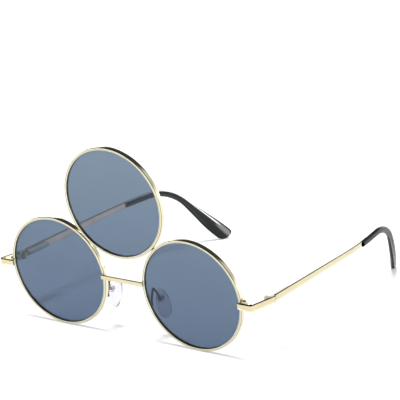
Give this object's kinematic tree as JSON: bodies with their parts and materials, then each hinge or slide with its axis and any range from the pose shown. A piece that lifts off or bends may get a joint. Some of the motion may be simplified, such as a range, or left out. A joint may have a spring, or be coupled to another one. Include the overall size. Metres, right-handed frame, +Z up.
{
  "type": "novelty party glasses",
  "caption": "Round wire-rimmed tinted glasses with an extra lens standing over the bridge, sprung folding temples, dark plastic ear tips and rocking nose pads.",
  "frame": {"origin": "bottom centre of the bounding box: on the floor, midway between the temples and midway between the front and the tips", "axes": "-Y is the way the lenses face, +Y runs back along the temples, +X is the wearer's left, +Z is up"},
  "size_m": [0.1376, 0.1598, 0.0891],
  "materials": {
    "gilt": "polished, pale gold plating",
    "smoke_lens": "clear tinted, grey-blue",
    "tip_black": "glossy black",
    "clear_pad": "translucent, satin",
    "spring_steel": "bright drawn steel"
  },
  "bodies": {
    "front": {"bridge_bar": "gilt", "closing_block_lower_left": "gilt", "closing_block_lower_right": "gilt", "closing_block_lower_top": "gilt", "closing_block_upper_left": "gilt", "closing_block_upper_right": "gilt", "closing_block_upper_top": "gilt", "closing_screw_left": "gilt", "closing_screw_right": "gilt", "closing_screw_top": "gilt", "endpiece_left": "gilt", "endpiece_right": "gilt", "hinge_leaf_left": "gilt", "hinge_leaf_right": "gilt", "hinge_screw_left": "gilt", "hinge_screw_right": "gilt", "lens_left": "smoke_lens", "lens_right": "smoke_lens", "lens_top": "smoke_lens", "pad_arm_left": "gilt", "pad_arm_right": "gilt", "pad_box_left": "gilt", "pad_box_right": "gilt", "pad_screw_left": "gilt", "pad_screw_right": "gilt", "rim_left": "gilt", "rim_right": "gilt", "rim_top": "gilt"},
    "slider_left": {"hinge_slider_left": "spring_steel"},
    "temple_left": {"temple_left": "gilt", "temple_tip_left": "tip_black", "spring_case_left": "gilt", "spring_lock_ring_left": "spring_steel", "hinge_spring_left": "spring_steel"},
    "pad_left": {"nose_pad_left": "clear_pad"},
    "slider_right": {"hinge_slider_right": "spring_steel"},
    "temple_right": {"temple_right": "gilt", "temple_tip_right": "tip_black", "spring_case_right": "gilt", "spring_lock_ring_right": "spring_steel", "hinge_spring_right": "spring_steel"},
    "pad_right": {"nose_pad_right": "clear_pad"}
  },
  "joints": [
    {"name": "fold_left", "type": "hinge", "parent": "front", "child": "slider_left", "pos_m": [0.0661, -0.05739, 0.02514], "axis": [-0.0016, -0.0572, 0.9984], "range_deg": [-3, 85]},
    {"name": "spring_left", "type": "slide", "parent": "slider_left", "child": "temple_left", "axis": [-0.0174, 0.9982, 0.0572], "range_m": [0, 0.0006], "stiffness_N_per_m": 1500, "springref_m": -0.001},
    {"name": "pad_rock_left", "type": "hinge", "parent": "front", "child": "pad_left", "pos_m": [0.01384, -0.06191, 0.01906], "axis": [0.8013, 0.5237, 0.2893], "range_deg": [-8, 8]},
    {"name": "fold_right", "type": "hinge", "parent": "front", "child": "slider_right", "pos_m": [-0.0661, -0.05739, 0.02514], "axis": [-0.0016, 0.0572, -0.9984], "range_deg": [-3, 80]},
    {"name": "spring_right", "type": "slide", "parent": "slider_right", "child": "temple_right", "axis": [0.0174, 0.9982, 0.0572], "range_m": [0, 0.0006], "stiffness_N_per_m": 1500, "springref_m": -0.001},
    {"name": "pad_rock_right", "type": "hinge", "parent": "front", "child": "pad_right", "pos_m": [-0.01384, -0.06191, 0.01906], "axis": [0.8013, -0.5237, -0.2893], "range_deg": [-8, 8]}
  ]
}
